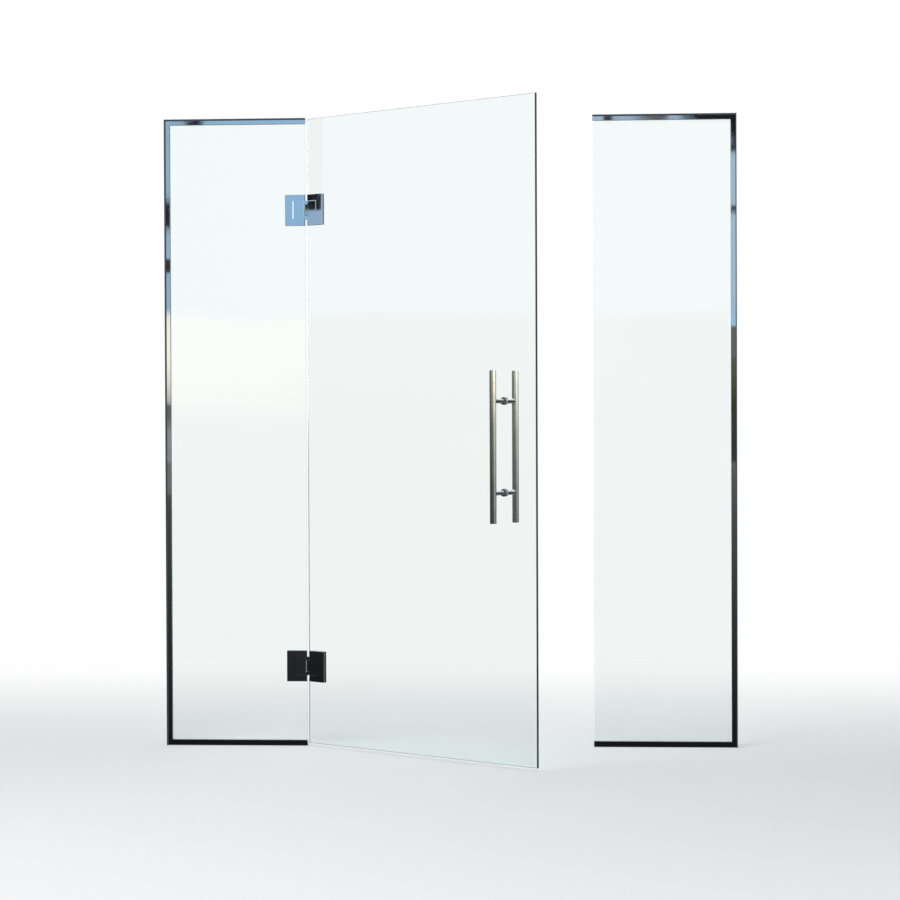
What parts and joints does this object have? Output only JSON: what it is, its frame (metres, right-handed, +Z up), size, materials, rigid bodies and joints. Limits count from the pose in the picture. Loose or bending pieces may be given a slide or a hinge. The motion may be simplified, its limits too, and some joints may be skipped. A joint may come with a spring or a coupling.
{
  "type": "hydraulic glass door",
  "caption": "Frameless glass door leaf on self-closing hydraulic hinges, hung from a fixed glass side-light in polished U-channels, with a matching side-light and a tubular pull handle.",
  "frame": {"origin": "floor level, midway between the two side-lights' free edges, in the middle of the glass's thickness", "axes": "+X to the right along the wall as the picture's viewer sees it, +Y away from the viewer, +Z up"},
  "size_m": [2, 0.5838, 2.2],
  "materials": {
    "glass": "clear toughened float glass with a green tint, polished arrises",
    "channel_steel": "mirror-polished stainless steel",
    "hinge_steel": "mirror-polished stainless steel",
    "pull_steel": "polished stainless tube",
    "screw_steel": "plain stainless",
    "spindle_steel": "ground and hardened, oiled",
    "spring_steel": "dark oiled wire",
    "bush_bronze": "sintered bronze",
    "gasket_rubber": "soft translucent grey extrusion",
    "seal_rubber": "moulded ring",
    "pad_plastic": "translucent pad",
    "setting_block_plastic": "solid block"
  },
  "bodies": {
    "frame": {"left_jamb_channel": "channel_steel", "left_head_channel": "channel_steel", "left_sill_channel": "channel_steel", "left_side_glass": "glass", "left_glazing_gaskets": "gasket_rubber", "left_setting_blocks": "setting_block_plastic", "right_jamb_channel": "channel_steel", "right_head_channel": "channel_steel", "right_sill_channel": "channel_steel", "right_side_glass": "glass", "right_glazing_gaskets": "gasket_rubber", "right_setting_blocks": "setting_block_plastic", "upper_hinge_fixed_body": "hinge_steel", "upper_hinge_fixed_clamp": "hinge_steel", "upper_hinge_fixed_pads": "pad_plastic", "upper_hinge_fixed_screws": "screw_steel", "upper_hinge_spindle": "spindle_steel", "upper_hinge_spindle_seals": "seal_rubber", "upper_hinge_thrust_washers": "bush_bronze", "upper_hinge_set_screws": "screw_steel", "lower_hinge_fixed_body": "hinge_steel", "lower_hinge_fixed_clamp": "hinge_steel", "lower_hinge_fixed_pads": "pad_plastic", "lower_hinge_fixed_screws": "screw_steel", "lower_hinge_spindle": "spindle_steel", "lower_hinge_spindle_seals": "seal_rubber", "lower_hinge_thrust_washers": "bush_bronze", "lower_hinge_set_screws": "screw_steel"},
    "leaf": {"leaf_glass": "glass", "front_pull": "pull_steel", "back_pull": "pull_steel", "pull_caps": "pull_steel", "pull_rosettes": "pull_steel", "pull_pads": "pad_plastic", "glass_bushes": "pad_plastic", "through_studs": "screw_steel", "grub_screws": "screw_steel", "upper_hinge_leaf_body": "hinge_steel", "upper_hinge_leaf_clamp": "hinge_steel", "upper_hinge_leaf_pads": "pad_plastic", "upper_hinge_leaf_screws": "screw_steel", "upper_hinge_bushes": "bush_bronze", "upper_hinge_spring": "spring_steel", "upper_hinge_end_plug": "spindle_steel", "upper_hinge_valve_screw": "screw_steel", "lower_hinge_leaf_body": "hinge_steel", "lower_hinge_leaf_clamp": "hinge_steel", "lower_hinge_leaf_pads": "pad_plastic", "lower_hinge_leaf_screws": "screw_steel", "lower_hinge_bushes": "bush_bronze", "lower_hinge_spring": "spring_steel", "lower_hinge_end_plug": "spindle_steel", "lower_hinge_valve_screw": "screw_steel"},
    "upper_piston": {"upper_hinge_piston": "spindle_steel", "upper_hinge_piston_seal": "seal_rubber"},
    "lower_piston": {"lower_hinge_piston": "spindle_steel", "lower_hinge_piston_seal": "seal_rubber"}
  },
  "joints": [
    {"name": "leaf_swing", "type": "hinge", "parent": "frame", "child": "leaf", "pos_m": [-0.496, 0, 0], "axis": [0, 0, 1], "range_deg": [-55, 35], "stiffness_Nm_per_rad": 15, "springref_deg": 57.3},
    {"name": "upper_piston_slide", "type": "slide", "parent": "leaf", "child": "upper_piston", "axis": [0.8192, -0.5736, 0], "range_m": [-0.00123, 0.00193], "deforming": ["upper_hinge_spring"]},
    {"name": "lower_piston_slide", "type": "slide", "parent": "leaf", "child": "lower_piston", "axis": [0.8192, -0.5736, 0], "range_m": [-0.00123, 0.00193], "deforming": ["lower_hinge_spring"]}
  ],
  "couplings": [
    {"joint": "upper_piston_slide", "follows": "leaf_swing", "m_per_rad": -0.002},
    {"joint": "lower_piston_slide", "follows": "leaf_swing", "m_per_rad": -0.002}
  ]
}
